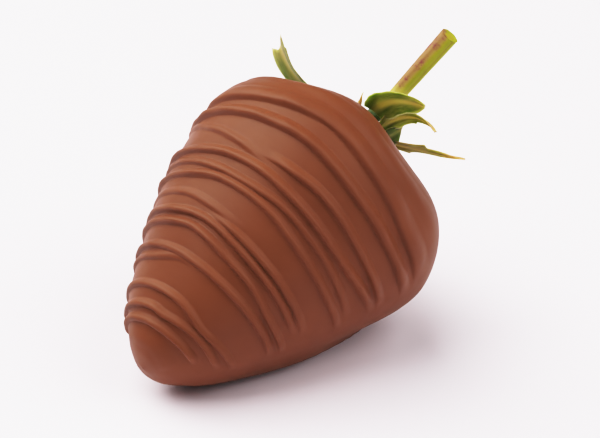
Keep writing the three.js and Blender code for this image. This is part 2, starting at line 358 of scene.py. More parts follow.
THREADS = [
    thread((-60, 2.6), (0, 2.3), (30, 2.4), (50, 2.1), (90, 1.5), height=0.2, steep=1.5,
           soft=2.0, curve=2.0),
    thread((-96, 3.9), (-40, 4.1), (0, 4.4), (40, 4.6), (90, 4.9), height=0.7, steep=0.6,
           curve=0.8),
    thread((-98, 5.5), (-40, 5.7), (0, 6.1), (20, 6.0), (60, 6.8), (106, 7.0)),
    thread((-100, 8.2), (-40, 8.3), (0, 8.6), (30, 8.5), (56, 7.9), (90, 8.7), (114, 9.0),
           height=0.6),
    thread((-80, 11.8), (-30, 12.1), (-15, 12.4), (0, 13.1), (16, 13.6), height=0.45),
    thread((-100, 13.5), (-30, 13.8), (15, 13.9), (60, 14.0), (90, 14.3), (112, 14.2),
           height=0.6),
    thread((-98, 16.9), (-30, 17.2), (0, 17.8), (15, 17.5), (30, 17.0), (50, 16.7), (75, 15.9),
           (116, 16.1)),
    thread((-100, 18.9), (-30, 19.0), (0, 19.6), (15, 19.5), (45, 18.7), (80, 18.3), (100, 18.2)),
    thread((4, 20.7), (25, 20.4), (45, 20.0), (75, 19.7), (104, 19.5)),
    thread((-94, 21.4), (-30, 21.8), (-10, 22.0), (15, 21.4), (32, 21.1), height=0.35),
    thread((-100, 24.1), (-30, 24.6), (0, 25.6), (30, 25.6), (60, 24.6), (90, 24.4), (114, 24.8),
           height=0.65),
    thread((-98, 26.5), (-30, 26.8), (15, 26.9), (35, 27.3), (60, 26.9), (90, 26.4), (106, 26.3),
           height=0.45),
    thread((-100, 28.2), (-30, 28.7), (0, 29.4), (20, 29.5), (60, 28.7), (75, 28.7), (90, 29.3),
           (112, 30.3), height=0.75, soft=1.2),
    thread((-80, 35.2), (-60, 34.6), (-30, 33.0), (0, 31.7), (18, 30.7), height=0.4),
    thread((12, 31.7), (30, 32.1), (45, 32.4), (75, 31.7), (112, 31.7), height=0.75, soft=1.3),
    thread((-66, 35.0), (-35, 35.4), (0, 36.4), (25, 37.0), (60, 36.1), (95, 35.9), (114, 36.1),
           height=0.85, steep=0.6, soft=1.6),
    thread((-50, 37.3), (-30, 38.4), (-12, 39.3), (0, 40.0), (15, 41.1), (30, 41.7), (60, 40.2),
           (90, 39.1), (110, 38.7), height=0.8, steep=0.7, soft=3.0),
    thread((-96, 47.4), (-30, 46.6), (20, 46.2), (60, 45.6), (98, 45.2), height=0.3, steep=2.2,
           soft=2.5, curve=2.0),
]
THREAD_FADE = math.radians(20)
THREAD_POINTS = 160


def drizzle_paths():
    side = outline[:np.argmax(outline[:, 0])]
    lines = []
    sizes = []
    for number, given in enumerate(THREADS):
        turn, station = catmull_rom(given["through"], CURVE_STEPS).T
        even_turn = np.linspace(turn[0], turn[-1], THREAD_POINTS)
        station = np.interp(even_turn, turn, station)
        radius = np.interp(station, *side.T)
        lines.append(fruit_point(station, np.radians(even_turn), radius) * MM)
        lengths = {label: given[label] * MM for label in ("steep", "soft", "height")}
        sizes.append({**lengths, "thread": float(number), "round": given["round"],
                      "from": math.radians(turn[0]), "to": math.radians(turn[-1])})
    return wire("drizzle_paths", lines, {
        label: np.repeat([size[label] for size in sizes], THREAD_POINTS) for label in sizes[0]})


paths = drizzle_paths()
print(len(THREADS), "threads of drizzle on", len(paths.data.vertices), "points")

# %% [markdown]
# ## The coat and its drizzle as one tree
#
# The coat could be sculpted, but it follows a rule, so Geometry Nodes can make it: a flat grid
# is rolled round the axis, with each of its rows at one place of the outline. Then a repeat zone
# goes through the threads one by one. At each point of the coat it measures how far the thread's
# path is, and adds the thread's rounded height. Heights are added as fourth powers, so that two
# threads that meet run into each other and still keep a valley between them. Last come the
# swells, lobes and full cheek of the fruit itself, and the flat foot. Over its lowest two
# millimetres the coat is drawn in, so that a thin dark gap shows there.

# %% Tree for the coat
SHOULDER_LOBES = {"count": 5, "hollow": math.radians(-12), "depth": 0.9, "station": 49, "reach": 9}
UNEVENNESS = {"height": 0.22, "start": 1.3, "along": 0.21, "lobes": 2, "twist": 0.11}
SMOOTH_TIP = 4
JOIN_POWER = 4.0
CHEEK = {"turn": math.radians(118), "spread": math.radians(42), "station": 41, "reach": 18}
LIP_STEPS = (("Middle Lip", 3, 16), ("Back Lip", 24, 31), ("Rear Lip", 32, 40))
RUN_STEPS = (("Front Run", 2, 10), ("Back Run", 20, 32))
FOOT_MIDDLE = 27
FOOT_CORE = 7
NOISE_SIZE = {"wobble": 7, "swelling": 4, "dimples": 2.6}
SWELLING_NOISE = (0.3, 0.7)      # where in its noise a thread is thinnest and thickest
SAME_POINT = 0.001
COAT = {
    "Paths": paths, "Rows": 600, "Columns": 160, "Crowding": 0.45,
    "Tilt": AXIS_TILT, "Tip Height": TIP_HEIGHT * MM, "Length": float(outline_length) * MM,
    "Threads": len(THREADS), "Thread Points": THREAD_POINTS, "Fade": THREAD_FADE,
    "Soft Roundness": 1.6, "Swelling": 0.2, "Wobble": 0.4 * MM,
    "Lobes": SHOULDER_LOBES["count"], "Lobe Depth": SHOULDER_LOBES["depth"] * MM,
    "Cheek": 1.1 * MM, "Unevenness": UNEVENNESS["height"] * MM, "Dimples": 0.05 * MM,
    "Tip Lip": 0.9 * MM, "Middle Lip": 1.7 * MM, "Back Lip": 2.1 * MM, "Rear Lip": 0.8 * MM,
    "Tip Run": 9 * MM, "Front Run": 5 * MM, "Back Run": 1.7 * MM,
    "Undercut": 2.6 * MM, "Undercut Height": 2.0 * MM, "Seed": 7, "Chocolate": chocolate,
}


def coat_tree():
    tree, given = new_tree("Coat with drizzle", COAT)

    # A flat grid, whose x from -0.5 to 0.5 is the row and whose y is the turn
    position = geometry(tree, "InputPosition")[0]
    shape = geometry(tree, "MeshGrid", {
        "Size X": 1.0, "Size Y": 1.0, "Vertices X": given["Rows"],
        "Vertices Y": calc(tree, "ADD", given["Columns"], 1.0)})["Mesh"]
    flat = separate(tree, position)
    share = calc(tree, "ADD", flat["X"], 0.5)
    even = calc(tree, "MULTIPLY", flat["Y"], math.tau)
    turn = calc(tree, "MULTIPLY_ADD", calc(tree, "SINE", even), given["Crowding"], even)
    along = calc(tree, "MULTIPLY", share, given["Length"])

    # The outline at that row
    row = geometry(tree, "SampleCurve", {
        "Curves": geometry(tree, "MeshToCurve", {"Mesh": given["Geometry"]})[0],
        "Value": named(tree, "shoulder"), "Factor": share}, mode="FACTOR", data_type="FLOAT")
    spot = separate(tree, row["Position"])
    slope = separate(tree, row["Tangent"])
    sine = calc(tree, "SINE", turn)
    cosine = calc(tree, "COSINE", turn)
    backwards = calc(tree, "MULTIPLY", slope["Y"], -1.0)
    turned = []
    for radial, axial in ((spot["Y"], spot["X"]), (slope["X"], backwards),
                          (slope["Y"], slope["X"])):
        level = combine(tree, calc(tree, "MULTIPLY", radial, sine), axial,
                        calc(tree, "MULTIPLY", radial, cosine))
        turned.append(add_node(tree, "ShaderNodeVectorRotate", {
            "Vector": level, "Angle": given["Tilt"]}, rotation_type="X_AXIS").outputs[0])
    point, outward, leafward = turned
    lying = vector(tree, "ADD", point, combine(tree, z=given["Tip Height"]))

    # What later steps need is kept on the points
    kept = {}
    for name, value in {"turn": turn, "along": along, "station": spot["X"], "lobe": row["Value"],
                        "outward": outward, "leafward": leafward, "ridge": 0.0}.items():
        kind = "FLOAT_VECTOR" if name in ("outward", "leafward") else "FLOAT"
        shape = store(tree, shape, name, value, kind)
        kept[name] = named(tree, name, kind)
    rolled = geometry(tree, "SetPosition", {"Geometry": shape, "Position": lying})[0]

    # Noise that moves with the seed, for the threads' wobble and the coat's dimples
    noise_place = vector(tree, "ADD", vector(tree, "SCALE", position, 1 / MM),
                         combine(tree, given["Seed"], given["Seed"]))
    wobble = vector(tree, "SUBTRACT", noise(
        tree, noise_place, NOISE_SIZE["wobble"])["Color"], (0.5, 0.5, 0.5))
    probe = vector(tree, "ADD", position, vector(tree, "SCALE", wobble, given["Wobble"]))
    swelling = ramp(
        tree, noise(tree, noise_place, NOISE_SIZE["swelling"], 1.0)["Fac"], *SWELLING_NOISE,
        calc(tree, "SUBTRACT", 1.0, given["Swelling"]),
        calc(tree, "ADD", 1.0, given["Swelling"]), kind="LINEAR")

    # The repeat zone, one pass for each thread
    threads = geometry(tree, "ObjectInfo", {
        "Object": given["Paths"]}, transform_space="ORIGINAL")["Geometry"]
    start = tree.nodes.new("GeometryNodeRepeatInput")
    end = tree.nodes.new("GeometryNodeRepeatOutput")
    start.pair_with_output(end)
    tree.links.new(given["Threads"], start.inputs["Iterations"])
    tree.links.new(rolled, start.inputs["Geometry"])
    number = start.outputs["Iteration"]
    first = calc(tree, "MULTIPLY", number, given["Thread Points"])
    size = {}
    for name in ("steep", "soft", "height", "round", "from", "to"):
        size[name] = geometry(tree, "SampleIndex", {
            "Geometry": threads, "Value": named(tree, name), "Index": first},
            data_type="FLOAT", domain="POINT")[0]
    near = geometry(tree, "Proximity", {
        0: threads, "Group ID": named(tree, "thread"), "Sample Position": probe,
        "Sample Group ID": number}, target_element="EDGES")
    from_path = vector(tree, "SUBTRACT", probe, near["Position"])
    on_soft = calc(tree, "GREATER_THAN", vector(
        tree, "DOT_PRODUCT", from_path, kept["leafward"]), 0.0)
    half, roundness = [
        add_node(tree, "ShaderNodeMix", {0: on_soft, 2: on_steep, 3: beyond}).outputs[0]
        for on_steep, beyond in ((size["steep"], size["soft"]),
                                 (size["round"], given["Soft Roundness"]))]
    part = calc(tree, "DIVIDE", near["Distance"], half, use_clamp=True)
    dome = calc(tree, "SUBTRACT", 1.0, calc(tree, "MULTIPLY", part, part))
    height = calc(tree, "POWER", dome, roundness)
    begun = calc(tree, "ADD", size["from"], given["Fade"])
    ending = calc(tree, "SUBTRACT", size["to"], given["Fade"])
    for factor in (size["height"], 1 / MM, swelling,
                   ramp(tree, kept["turn"], size["from"], begun),
                   ramp(tree, kept["turn"], ending, size["to"], 1.0, 0.0)):
        height = calc(tree, "MULTIPLY", height, factor)
    summed = calc(tree, "ADD", kept["ridge"], calc(tree, "POWER", height, JOIN_POWER))
    tree.links.new(store(tree, start.outputs["Geometry"], "ridge", summed), end.inputs["Geometry"])

    # Drizzle, slow swells, the shoulder's lobes, the cheek and fine dimples, all going outwards
    drizzle = calc(tree, "MULTIPLY", calc(tree, "POWER", kept["ridge"], 1 / JOIN_POWER), MM)
    swell = ramp(tree, kept["along"], 0.0, SMOOTH_TIP * MM, 0.0, given["Unevenness"])
    for lobes, rate, offset in ((0, UNEVENNESS["along"], UNEVENNESS["start"]),
                                (UNEVENNESS["lobes"], UNEVENNESS["twist"], 0.0)):
        angle = calc(tree, "MULTIPLY_ADD", kept["along"], rate / MM, offset)
        angle = calc(tree, "MULTIPLY_ADD", kept["turn"], float(lobes), angle)
        swell = calc(tree, "MULTIPLY", swell, calc(tree, "SINE", angle))
    off_hollow = calc(tree, "SUBTRACT", kept["turn"], SHOULDER_LOBES["hollow"])
    lobe_wave = calc(tree, "COSINE", calc(tree, "MULTIPLY", off_hollow, given["Lobes"]))
    lobe_share = ramp(tree, lobe_wave, -1.0, 1.0, 0.0, kept["lobe"], kind="LINEAR")
    hollow = calc(tree, "MULTIPLY", lobe_share, given["Lobe Depth"])
    facing_cheek = calc(tree, "COSINE", calc(tree, "SUBTRACT", kept["turn"], CHEEK["turn"]))
    cheek_round = ramp(tree, facing_cheek, math.cos(CHEEK["spread"]), 1.0, 0.0, given["Cheek"])
    ahead = calc(tree, "SUBTRACT", kept["station"], CHEEK["station"] * MM)
    cheek = ramp(
        tree, calc(tree, "ABSOLUTE", ahead), 0.0, CHEEK["reach"] * MM, cheek_round, 0.0)
    dimples = ramp(tree, noise(tree, noise_place, NOISE_SIZE["dimples"])["Fac"], 0.0, 1.0,
                   calc(tree, "MULTIPLY", given["Dimples"], -1.0), given["Dimples"], kind="LINEAR")
    total = drizzle
    for change, way in ((swell, "ADD"), (dimples, "ADD"), (cheek, "ADD"), (hollow, "SUBTRACT")):
        total = calc(tree, way, total, change)
    dressed = geometry(tree, "SetPosition", {
        "Geometry": end.outputs["Geometry"],
        "Offset": vector(tree, "SCALE", kept["outward"], total)})[0]

    # The lowest coat has run down and set as a lip round a flat foot, and is drawn in below
    foot = []
    for here, steps in ((given["Tip Lip"], LIP_STEPS), (given["Tip Run"], RUN_STEPS)):
        for level, begin, finish in steps:
            here = ramp(tree, kept["station"], begin * MM, finish * MM, here, given[level])
        foot.append(here)
    lip, run = foot
    place = separate(tree, position)
    sunk = ramp(tree, place["Z"], lip, calc(tree, "ADD", lip, run), lip, 0.0)
    above = calc(tree, "MAXIMUM", calc(tree, "SUBTRACT", place["Z"], sunk), 0.0)
    rested = combine(tree, place["X"], place["Y"], above)
    drawn_in = ramp(tree, above, 0.0, given["Undercut Height"], given["Undercut"], 0.0)
    to_middle = vector(tree, "SUBTRACT", (0.0, FOOT_MIDDLE * MM, 0.0), rested)
    level_way = vector(tree, "MULTIPLY", to_middle, (1.0, 1.0, 0.0))
    distance = calc(tree, "MAXIMUM", vector(tree, "LENGTH", level_way), FOOT_CORE * MM)
    moved_in = vector(tree, "SCALE", level_way, calc(tree, "DIVIDE", drawn_in, distance))
    settled = geometry(tree, "SetPosition", {
        "Geometry": dressed, "Position": vector(tree, "ADD", rested, moved_in)})[0]
    closed = geometry(tree, "MergeByDistance", {
        "Geometry": settled, "Distance": SAME_POINT * MM})[0]
    end_tree(tree, closed, given["Chocolate"])
    return tree


def shoulder_share(station):
    """How much of the shoulder's lobes shows at a station, from 0 to 1."""
    away = np.abs(station - SHOULDER_LOBES["station"]) / SHOULDER_LOBES["reach"]
    return (1 - np.minimum(1, away) ** 2) ** 2


outline_host = wire("outline", [np.pad(outline, ((0, 0), (0, 1))) * MM], {
    "shoulder": shoulder_share(outline[:, 0])})
coat = run_tree("dipped_berry", outline_host, coat_tree(), COAT)
bpy.data.objects.remove(paths)

# %% [markdown]
# ## Setting the coat on its node
#
# The tree works about the fruit's own axis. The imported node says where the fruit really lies,
# so the mesh slides over the floor until the middles of the two boxes agree from above.

# %% Place of the coat
corners = np.array([v.co for v in coat.data.vertices])
node_low, node_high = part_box("coated_berry")
own_middle = (corners.min(axis=0) + corners.max(axis=0)) / 2
SHIFT = (node_low + node_high) / 2 - Vector(own_middle)
SHIFT.z = 0
coat.data.transform(Matrix.Translation(SHIFT))
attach(coat, BODY)
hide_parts("coated_berry")
print("shifted by", [round(s / MM, 3) for s in SHIFT], "mm")

# %% [markdown]
# ## Leaves
#
# Under the stem a strawberry has a ring of broad sepals, with narrow bracts between them. When
# the cut fruit dries they lift and curl. Each is a thin blade about half a millimetre thick,
# with a raised rib down its middle, fainter veins beside it and a fine, slightly ragged edge.
# Light comes through it, so even a shaded face looks green. The green runs in streaks along the
# blade. At the root it is deep green, partly its own colour and partly painted shade where the
# roots crowd. A few leaves are darkened all over with painted shade, for the shadow between the
# leaves. It is paler under the blade and on the rib, and tan where it has dried.

# %% Finish of the leaves
# A deep green, for the roots of the leaves and stem, and for the painted shade on the leaves.
DEEP_GREEN = "#3C4A20"


def attribute(tree, name):
    """The number that a mesh keeps under a name, for a shader."""
    return add_node(tree, "ShaderNodeAttribute", attribute_name=name).outputs["Fac"]


def leaf_material():
    """Reads a blade's place across and along it, dryness, painted shade and underside."""
    material, tree, shader = new_material("Strawberry sepal", {
        "Roughness": 0.6,
        "IOR": 1.42,
        "Specular IOR Level": 0.35,
        "Subsurface Weight": 0.85,
        "Subsurface Radius": (0.8, 1.0, 0.5),
        "Subsurface Scale": 1.4 * MM,
    })
    blade = add_node(tree, "ShaderNodeUVMap", uv_map="Blade").outputs[0]
    spot = separate(tree, blade)
    dry = attribute(tree, "dryness")

    # Streaks of two greens along the blade, which shift from leaf to leaf
    blade_half_width = 2.5 * MM
    blade_length = 13 * MM
    streak_width = 0.9 * MM
    streak_length = 5 * MM
    streak_noise = (0.3, 0.7)
    shift_size = 6 * MM
    stretched = add_node(tree, "ShaderNodeMapping", {
        "Vector": blade,
        "Scale": (blade_half_width / streak_width, blade_length / streak_length, 1.0)}).outputs[0]
    shift = vector(tree, "SCALE", object_place(tree), 1 / shift_size)
    streak = noise(tree, vector(tree, "ADD", stretched, shift), 1.0, 3.0, 0.6)["Fac"]
    green = blend(tree, ramp(tree, streak, *streak_noise, kind="LINEAR"), "#5A6A2E", "#A8A662")

    # Deep green at the root, partly its own colour and partly painted shade, and painted shade
    # over some whole leaves; the pale rib fades under both
    root_end = 0.3
    root_green_and_shade = 0.6
    rib_middle = 0.05
    rib_edge = 0.4
    rib_paleness = 0.8
    depth = calc(tree, "MAXIMUM", ramp(tree, spot["Y"], 0.0, root_end, root_green_and_shade, 0.0),
                 attribute(tree, "depth"))
    from_rib = calc(tree, "ABSOLUTE", spot["X"])
    rib = calc(tree, "MULTIPLY", ramp(tree, from_rib, rib_middle, rib_edge, rib_paleness, 0.0),
               calc(tree, "SUBTRACT", 1.0, depth))

    # Tan on the edge and at the tip, and all over a leaf as far as it has dried
    dry_edge_start = 0.85
    dry_edge = 0.3
    dry_tip_start = 0.6
    dry_tip = 0.3
    dry_tip_gain = 3.0
    edge = ramp(tree, from_rib, dry_edge_start, 1.0, 0.0, dry_edge)
    tip = ramp(tree, spot["Y"], dry_tip_start, 1.0, 0.0,
               calc(tree, "MULTIPLY_ADD", dry, dry_tip_gain, dry_tip))
    withered = calc(tree, "ADD", calc(tree, "MAXIMUM", edge, tip), dry, use_clamp=True)
    colour = overlay(tree, green, ((depth, DEEP_GREEN), (rib, "#DCC888"),
                                   (attribute(tree, "underside"), "#B4B478"),
                                   (withered, "#B08655")))
    tree.links.new(colour, shader.inputs["Base Color"])
    add_grain(tree, shader, size=0.35 * MM, detail=2.0, roughness=0.5, strength=0.35,
              depth=0.06 * MM)
    return material


leaf_green = leaf_material()
print("material", leaf_green.name)

# %% Shape of the leaves
CALYX_STATION = 54.0
CALYX_UPHILL = 3.0
CALYX_NOD = math.radians(8)
CALYX_RADIUS = 4.0
CALYX_HEIGHT = 2.2
GAP = 0.3
# Clock and lift are where a leaf points, in degrees, and sweep and curl what they gain by its tip.
# Level is the height of its root in millimetres, and with a high taper the leaf narrows late.
# A share that darkens a whole leaf towards deep green is painted shade between the leaves.
LEAF = dict(curl=0, sweep=0, level=0, taper=1.6, fold=0.25, fork=0, dry=0.0, deep=0.0, root=0.65)
LEAVES = {
    "sepal_1": dict(clock=36, lift=11, curl=-3, sweep=66, length=12.6, width=5.4, taper=5.0,
                    level=1.95),
    "sepal_2": dict(clock=122, lift=22, curl=1, sweep=-14, length=13.0, width=3.8, taper=0.45,
                    level=1.0, dry=0.35, deep=0.3),
    "sepal_3": dict(clock=-57, lift=-20, curl=58, sweep=10, length=16.4, width=6.4, level=1.0,
                    fork=1.6, deep=0.4),
    "sepal_4": dict(clock=-118, lift=6, curl=30, sweep=-10, length=13, width=5.4, level=1.0),
    "sepal_5": dict(clock=184, lift=4, curl=36, sweep=8, length=13.4, width=5.4, level=1.0),
    "bract_1": dict(clock=65, lift=60, curl=-90, sweep=37, length=12.4, width=3.7, taper=0.8,
                    level=0.2, dry=0.15, root=0.3),
    "bract_2": dict(clock=93, lift=61, curl=6, sweep=1, length=3.6, width=4.2, taper=2.5,
                    deep=0.75),
    "bract_3": dict(clock=148, lift=24, curl=-20, sweep=4, length=5.4, width=2.8),
    "bract_4": dict(clock=9, lift=44, curl=-10, sweep=14, length=4.0, width=0.8, dry=1.0),
    "bract_5": dict(clock=-94, lift=-6, curl=0, sweep=-8, length=11, width=2.2),
    "bract_6": dict(clock=-150, lift=0, curl=8, sweep=4, length=9, width=3.0),
}
TEETH = {                        # where each begins and ends along the blade, its side and reach
    "sepal_2": (0.1, 0.46, -1, 1.3),
    "sepal_3": (0.6, 0.82, 1, 0.9),
    "bract_1": (0.3, 0.55, 1, 0.5),
}
NO_TOOTH = (0, 1, 1, 0)
TOOTH_RISE = 1.5
TOOTH_DROP = 0.05
LEAF_ROWS = 64
LEAF_CELLS = 18
LEAF_THICKNESS = 0.5
LEAF_THINNING = 0.3              # share of the thickness that is lost by the tip
LEAF_ROUNDED = {"root": 0.03, "tip": 0.05}
LEAF_WIDEST = 0.3
LEAF_SEAT = {"out": 0.2, "up": 0.4}
LEAF_WAVE = {"height": 0.35, "along": 7, "shift": 1.7}
RAGGED = {"share": 0.05, "rates": (9, 21, 37)}
VEINS = ((0.0, 0.16), (0.42, 0.07), (-0.42, 0.07))    # their places across the blade and heights
VEIN_WIDTH = 0.22
VEIN_FADE = 0.7
UNDERSIDE_PALE = 0.5             # of the way to the pale colour of a leaf's underside
POINTED_TIP = 0.06
FORKED_TIP = 0.95
FORK_START = 0.7
FORK_MIDDLE = -0.4               # where across the blade the fork is deepest
calyx_place = (Matrix.Translation(SHIFT + Vector(fruit_point(CALYX_STATION, 0, CALYX_UPHILL)) * MM)
               @ Matrix.Rotation(AXIS_TILT + CALYX_NOD - math.pi / 2, 4, "X"))


def smoothstep(value, low, high):
    t = np.clip((value - low) / (high - low), 0, 1)
    return t * t * (3 - 2 * t)


def calyx_direction(clock, lift):
    """A unit vector: clock is an angle about the calyx's own axis, lift one above its plane."""
    c = np.radians(clock)
    s = np.radians(lift)
    return np.stack([np.sin(c) * np.cos(s), -np.cos(c) * np.cos(s), np.sin(s) + 0 * c], axis=-1)


def blade_half(leaf, t):
    """Half the blade's width at a share of its length, before the edge is made ragged."""
    growing = np.sin(math.pi / 2 * np.minimum(1, t / LEAF_WIDEST))
    tapering = 1 - np.maximum(0, (t - LEAF_WIDEST) / (1 - LEAF_WIDEST)) ** leaf["taper"]
    blunt = FORKED_TIP if leaf["fork"] else POINTED_TIP
    share = (leaf["root"] + (1 - leaf["root"]) * growing) * (blunt + (1 - blunt) * tapering)
    return leaf["width"] / 2 * share


def tooth(name, t, v):
    """How far a tooth stands out of one edge of a blade, in millimetres."""
    begins, ends, side, reach = TEETH.get(name, NO_TOOTH)
    rising = np.clip((t - begins) / (ends - begins), 0, 1) ** TOOTH_RISE
    falling = 1 - smoothstep(t, ends, ends + TOOTH_DROP)
    return rising * falling * reach * (side * v > 0)


def blade_surface(name, leaf, index):
    """Middle points and normals of a blade, as arrays of rows by cells, in the calyx frame."""
    t = np.linspace(0, 1, LEAF_ROWS + 1)
    v = np.linspace(-1, 1, LEAF_CELLS + 1)[None, :, None]
    onward = (t[:-1] + t[1:]) / 2
    steps = calyx_direction(leaf["clock"] + leaf["sweep"] * onward,
                            leaf["lift"] + leaf["curl"] * onward) * leaf["length"] / LEAF_ROWS
    start = calyx_direction(leaf["clock"], 0.0) * (CALYX_RADIUS + GAP + LEAF_SEAT["out"])
    start = start + [0, 0, LEAF_SEAT["up"] + leaf["level"]]
    line = start + np.vstack([[0, 0, 0], np.cumsum(steps, axis=0)])
    clock = leaf["clock"] + leaf["sweep"] * t
    forward = calyx_direction(clock, leaf["lift"] + leaf["curl"] * t)[:, None]
    across = calyx_direction(clock + 90, 0 * t)[:, None]
    normal = np.cross(across, forward)
    t = t[:, None, None]
    half = blade_half(leaf, t)
    edge = np.abs(v)
    rng = np.random.default_rng(index)
    rates = RAGGED["rates"]
    ragged = 1 + RAGGED["share"] * sum(
        np.sin(rate * t + rng.uniform(0, math.tau) + v) / rate * rates[0] for rate in rates)
    wave = LEAF_WAVE["height"] * edge * t * np.sin(
        LEAF_WAVE["along"] * t + LEAF_WAVE["shift"] * index + v)
    rise = leaf["fold"] * half * edge + wave
    for vein, height in VEINS:
        rise = rise + height * np.exp(-((v - vein) * half / VEIN_WIDTH) ** 2) * (1 - VEIN_FADE * t)
    back = -leaf["fork"] * np.maximum(0, 1 - np.abs(v - FORK_MIDDLE)) * smoothstep(t, FORK_START, 1)
    out = half * ragged + tooth(name, t, v)
    middle = line[:, None] + across * v * out + normal * rise + forward * back
    thick = LEAF_THICKNESS / 2 * np.sqrt(1 - v ** 2) * (1 - LEAF_THINNING * t)
    thick = thick * np.sqrt(np.minimum(1, t / LEAF_ROUNDED["root"])
                            * np.minimum(1, (1 - t) / LEAF_ROUNDED["tip"]))
    return middle, normal * thick


def double_sheet(name, middle, offset, uv_name):
    """A closed mesh from a grid and its offsets, which are nothing round the border."""
    rows, cells = middle.shape[:2]
    top = np.arange(rows * cells).reshape(rows, cells)
    under = top.copy()
    inner = (rows - 2) * (cells - 2)
    under[1:-1, 1:-1] = rows * cells + np.arange(inner).reshape(rows - 2, cells - 2)
    points = np.vstack([(middle + offset).reshape(-1, 3),
                        (middle - offset)[1:-1, 1:-1].reshape(-1, 3)])
    faces = []
    for sheet, step in ((top, 1), (under, -1)):
        quads = np.stack([sheet[:-1, :-1], sheet[:-1, 1:], sheet[1:, 1:], sheet[1:, :-1]], axis=-1)
        faces += quads.reshape(-1, 4)[:, ::step].tolist()
    mesh = new_mesh(name, points, faces)
    v, t = np.meshgrid(np.linspace(-1, 1, cells), np.linspace(0, 1, rows))
    flat = np.stack([v, t], axis=-1)
    spots = np.vstack([flat.reshape(-1, 2), flat[1:-1, 1:-1].reshape(-1, 2)])
    corner_of = np.array([loop.vertex_index for loop in mesh.loops])
    mesh.uv_layers.new(name=uv_name).data.foreach_set("uv", spots[corner_of].ravel())
    mark_points(mesh, "underside", np.append(
        np.zeros(rows * cells), np.full(inner, UNDERSIDE_PALE)))
    mesh.shade_smooth()
    return new_object(name, mesh)


def calyx_piece(piece, node):
    """Sets a piece made in millimetres in the calyx frame in its place on the fruit."""
    piece.data.transform(calyx_place @ Matrix.Diagonal((MM, MM, MM, 1)))
    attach(piece, BODY)
    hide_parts(node)
    return piece


leaves = []
for index, (node, given) in enumerate(LEAVES.items()):
    leaf = {**LEAF, **given}
    piece = double_sheet(node + "_blade", *blade_surface(node, leaf, index), "Blade")
    piece.data.materials.append(leaf_green)
    # Each blade keeps its dryness, and under depth its share of painted shade.
    for label, value in (("dryness", leaf["dry"]), ("depth", leaf["deep"])):
        mark_points(piece.data, label, [value] * len(piece.data.vertices))
    leaves.append(calyx_piece(piece, node))
print(len(leaves), "blades with", sum(len(leaf.data.polygons) for leaf in leaves), "faces")

# %% [markdown]
# ## The middle of the leaves
#
# The leaves grow from a low green dome with a collar for the stem. It is turned like a bowl on
# a lathe: a profile of radius and height goes round in even steps.

# %% Dome under the stem
STEM_DIAMETER = 2.5
DOME_COLUMNS = 60
DOME_STEPS = 6
# The dome takes the blade's colour near its root, with part of the root's painted shade.
DOME_SPOT = [0.6, 0.1]           # the place on a blade, beside the rib, whose green it takes
DOME_BULGE = [(0.9, 0), (1, 0.25), (0.8, 0.6)]        # shares of the calyx's radius and height
DOME_PLEATS = {"count": 11, "depth": 0.03}
COLLAR = {"share": 0.65, "flare": 0.3, "foot": 0.8}   # of the stem, in mm and of the height


def dome():
    collar = COLLAR["share"] * STEM_DIAMETER
    bulge = [(x * CALYX_RADIUS, y * CALYX_HEIGHT) for x, y in DOME_BULGE]
    profile = catmull_rom([
        (0, 0), *bulge, (collar + COLLAR["flare"], COLLAR["foot"] * CALYX_HEIGHT),
        (collar, CALYX_HEIGHT), (0, CALYX_HEIGHT)], DOME_STEPS)
    turn = np.linspace(0, math.tau, DOME_COLUMNS, endpoint=False)
    pleat = 1 + DOME_PLEATS["depth"] * np.sin(DOME_PLEATS["count"] * turn)
    points = [(0, 0, profile[0, 1])]
    for radius, height in profile[1:-1]:
        for angle, wave in zip(turn, pleat):
            reach = radius * wave
            points.append((reach * math.cos(angle), reach * math.sin(angle), height))
    points.append((0, 0, profile[-1, 1]))
    rings = len(profile) - 2
    faces = []
    for column in range(DOME_COLUMNS):
        beside = (column + 1) % DOME_COLUMNS
        faces.append((0, 1 + beside, 1 + column))
        for ring in range(rings - 1):
            low = 1 + ring * DOME_COLUMNS
            high = low + DOME_COLUMNS
            faces.append((low + column, low + beside, high + beside, high + column))
        last = 1 + (rings - 1) * DOME_COLUMNS
        faces.append((last + column, last + beside, len(points) - 1))
    mesh = new_mesh("calyx_dome", points, faces)
    mesh.uv_layers.new(name="Blade").data.foreach_set("uv", DOME_SPOT * len(mesh.loops))
    mesh.shade_smooth()
    mesh.materials.append(leaf_green)
    return new_object("calyx_dome", mesh)


calyx_dome = calyx_piece(dome(), "calyx_disc")
print("the dome has", len(calyx_dome.data.polygons), "faces")

# %% [markdown]
# ## Stem
#
# The stem is a juicy green stalk, faintly ribbed along its length, which leans and bends a
# little, widens at both ends and was cut a little aslant. It is pale where it leaves the leaves,
# and one side has been rubbed and dried brown, with darker flecks. A ribbed circle that follows
# its path makes it in Geometry Nodes. On the cut the skin stands higher than the drier middle.

# %% Finish of the stem
DRY_SIDE = 0.7                   # share of the way round at which the skin is rubbed and brown


